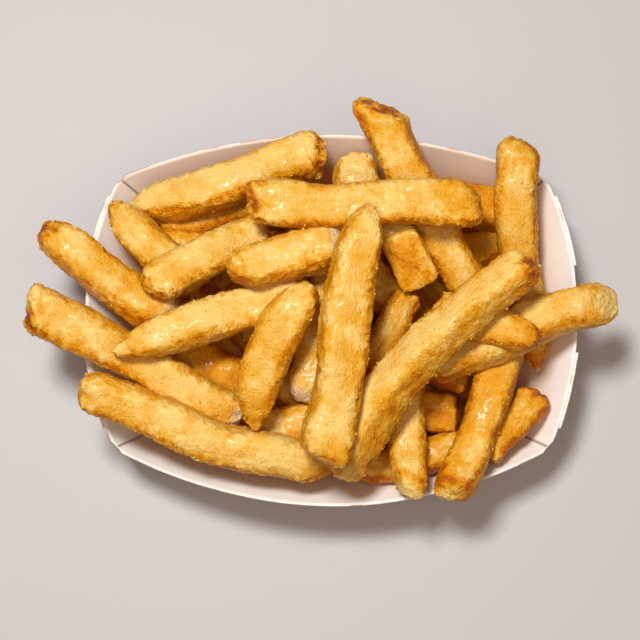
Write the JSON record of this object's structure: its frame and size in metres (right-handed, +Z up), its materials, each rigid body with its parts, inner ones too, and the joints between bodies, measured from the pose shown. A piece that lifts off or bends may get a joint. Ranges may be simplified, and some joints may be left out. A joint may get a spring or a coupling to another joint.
{
  "type": "heap of french fries in a paperboard tray",
  "caption": "Thick-cut battered french fries heaped in a folded paperboard food tray with leaning walls and glued corner flaps.",
  "frame": {"origin": "middle of the tray's flat underside", "axes": "+X along the tray's long side, +Y towards its back wall, +Z up"},
  "size_m": [0.2127, 0.1473, 0.0883],
  "materials": {
    "tray_paper": "satin",
    "fried_potato": "satin"
  },
  "bodies": {
    "root": {"tray": "tray_paper", "fries": "fried_potato"}
  },
  "joints": []
}
